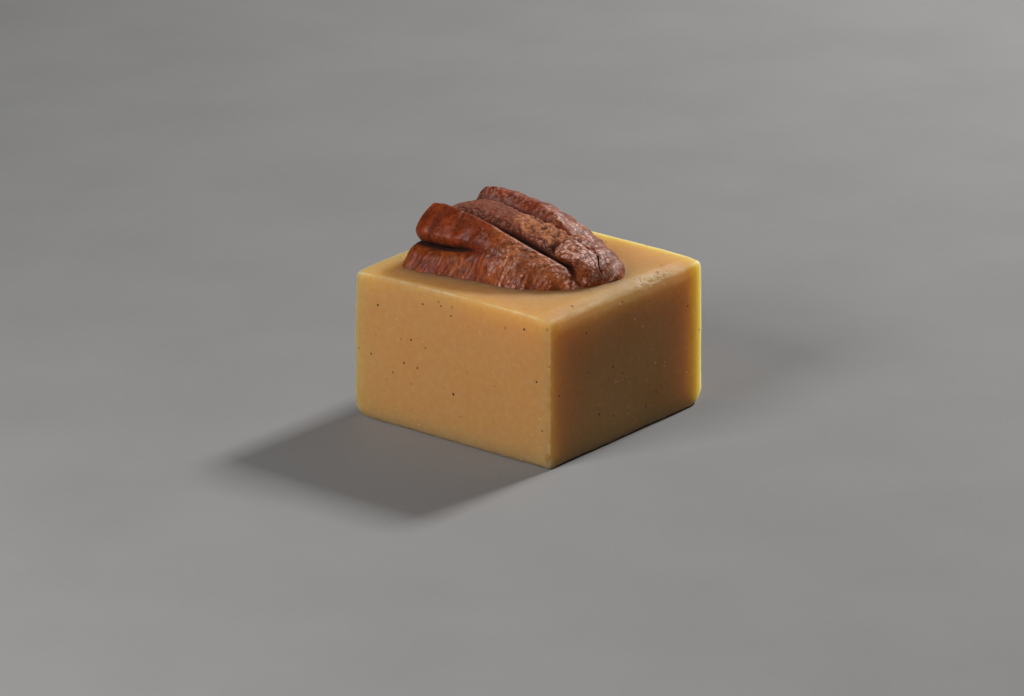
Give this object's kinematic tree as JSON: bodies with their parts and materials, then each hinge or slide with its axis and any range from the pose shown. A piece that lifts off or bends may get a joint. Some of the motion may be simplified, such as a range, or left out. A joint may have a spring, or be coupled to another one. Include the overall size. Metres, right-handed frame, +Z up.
{
  "type": "chocolate truffle",
  "caption": "Square-cut block of pale caramel-coloured ganache flecked with vanilla seed, with half a pecan pressed lengthwise into its top.",
  "frame": {"origin": "centre of the flat base, on the surface that the truffle stands on", "axes": "+Z up, +X and +Y along the two front faces, with the nut lying lengthwise along Y"},
  "size_m": [0.028, 0.028, 0.0238],
  "materials": {
    "ganache": "smooth, satin and slightly see-through caramel-coloured ganache with fine dark vanilla specks",
    "pecan": "wrinkled reddish-brown nut skin with a faint waxy gloss and a rough tan patch"
  },
  "bodies": {
    "root": {"ganache_block": "ganache", "pecan_half": "pecan"}
  },
  "joints": []
}
